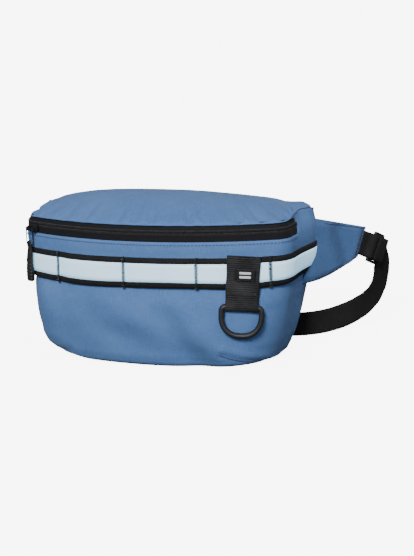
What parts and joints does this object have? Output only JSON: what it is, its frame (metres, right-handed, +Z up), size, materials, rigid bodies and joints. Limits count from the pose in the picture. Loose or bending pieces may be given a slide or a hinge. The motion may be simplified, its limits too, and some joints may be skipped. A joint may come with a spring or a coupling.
{
  "type": "waist pack",
  "caption": "Waist pack with a zipped top mouth, reflective front band, webbing tab with a D-ring, padded wings and a webbing belt with a side-release buckle.",
  "frame": {"origin": "on the ground under the middle of the pack's flat base, below the middle of its length", "axes": "+X to the right seen from the front, the front faces -Y, +Z up"},
  "size_m": [0.3915, 0.2122, 0.1638],
  "materials": {
    "shell_fabric": "matte coated weave",
    "lining": "matte",
    "foam": "matte",
    "back_fabric": "matte mesh",
    "zip_tape": "matte",
    "zip_coil": "satin",
    "slider_metal": "satin",
    "wire": "satin",
    "pull_rubber": "matte",
    "webbing": "matte weave",
    "reflective": "retroreflective",
    "thread": "matte",
    "label": "satin",
    "ring_plastic": "matte",
    "plastic": "satin"
  },
  "bodies": {
    "shell": {"front_panel": "shell_fabric", "back_panel": "back_fabric", "back_foam": "foam", "back_lining": "lining", "zip_tape_lower": "zip_tape", "zip_coil_lower": "zip_coil", "band_webbing": "webbing", "reflective_stripe": "reflective", "bartack_1": "thread", "bartack_2": "thread", "bartack_3": "thread", "bartack_4": "thread", "bartack_5": "thread", "tab_webbing": "webbing", "tab_label": "label"},
    "lid": {"top_panel": "shell_fabric", "zip_tape_upper": "zip_tape", "zip_coil_upper": "zip_coil"},
    "slider": {"zip_slider": "slider_metal"},
    "pull": {"pull_loop": "wire", "pull_grip": "pull_rubber"},
    "ring": {"d_ring": "ring_plastic"},
    "right_wing": {"wing_right": "shell_fabric", "stub_right": "webbing"},
    "right_belt": {"ladder_lock": "plastic", "strap_right": "webbing", "buckle_plug": "plastic"},
    "upper_prong": {"prong_upper": "plastic"},
    "lower_prong": {"prong_lower": "plastic"},
    "left_wing": {"wing_left": "shell_fabric", "strap_left": "webbing", "buckle_socket": "plastic"}
  },
  "joints": [
    {"name": "slider_travel", "type": "hinge", "parent": "shell", "child": "slider", "pos_m": [0, 0.25796, 0.136], "axis": [0, 0, 1], "range_deg": [0, 38]},
    {"name": "lid_open", "type": "hinge", "parent": "shell", "child": "lid", "pos_m": [0, 0.051, 0.162], "axis": [-1, 0, 0], "range_deg": [0, 28.5]},
    {"name": "pull_swing", "type": "hinge", "parent": "slider", "child": "pull", "pos_m": [-0.12909, -0.03288, 0.1328], "axis": [-0.914, 0.4057, 0], "range_deg": [0, 75]},
    {"name": "d_ring_swing", "type": "hinge", "parent": "shell", "child": "ring", "pos_m": [0.1017, -0.04441, 0.06559], "axis": [-0.9411, -0.3268, 0.0872], "range_deg": [0, 150]},
    {"name": "wing_right_fold", "type": "hinge", "parent": "shell", "child": "right_wing", "pos_m": [0.1463, 0.051, 0.1], "axis": [0, 0, 1], "range_deg": [-50, 2]},
    {"name": "wing_left_fold", "type": "hinge", "parent": "shell", "child": "left_wing", "pos_m": [-0.1463, 0.051, 0.1], "axis": [0, 0, 1], "range_deg": [-2, 50]},
    {"name": "lock_pivot", "type": "hinge", "parent": "right_wing", "child": "right_belt", "pos_m": [0.18587, 0.10507, 0.0965], "axis": [0.2496, 0.341, 0.9063], "range_deg": [0, 5]},
    {"name": "prong_upper_squeeze", "type": "hinge", "parent": "right_belt", "child": "upper_prong", "pos_m": [0.0296, 0.088, 0.0269], "axis": [0, -1, 0], "range_deg": [0, 7], "stiffness_Nm_per_rad": 0.05},
    {"name": "prong_lower_squeeze", "type": "hinge", "parent": "right_belt", "child": "lower_prong", "pos_m": [0.0296, 0.088, 0.0077], "axis": [0, 1, 0], "range_deg": [0, 7], "stiffness_Nm_per_rad": 0.05}
  ],
  "couplings": [
    {"joint": "lid_open", "follows": "slider_travel", "ratio": 0.75}
  ]
}
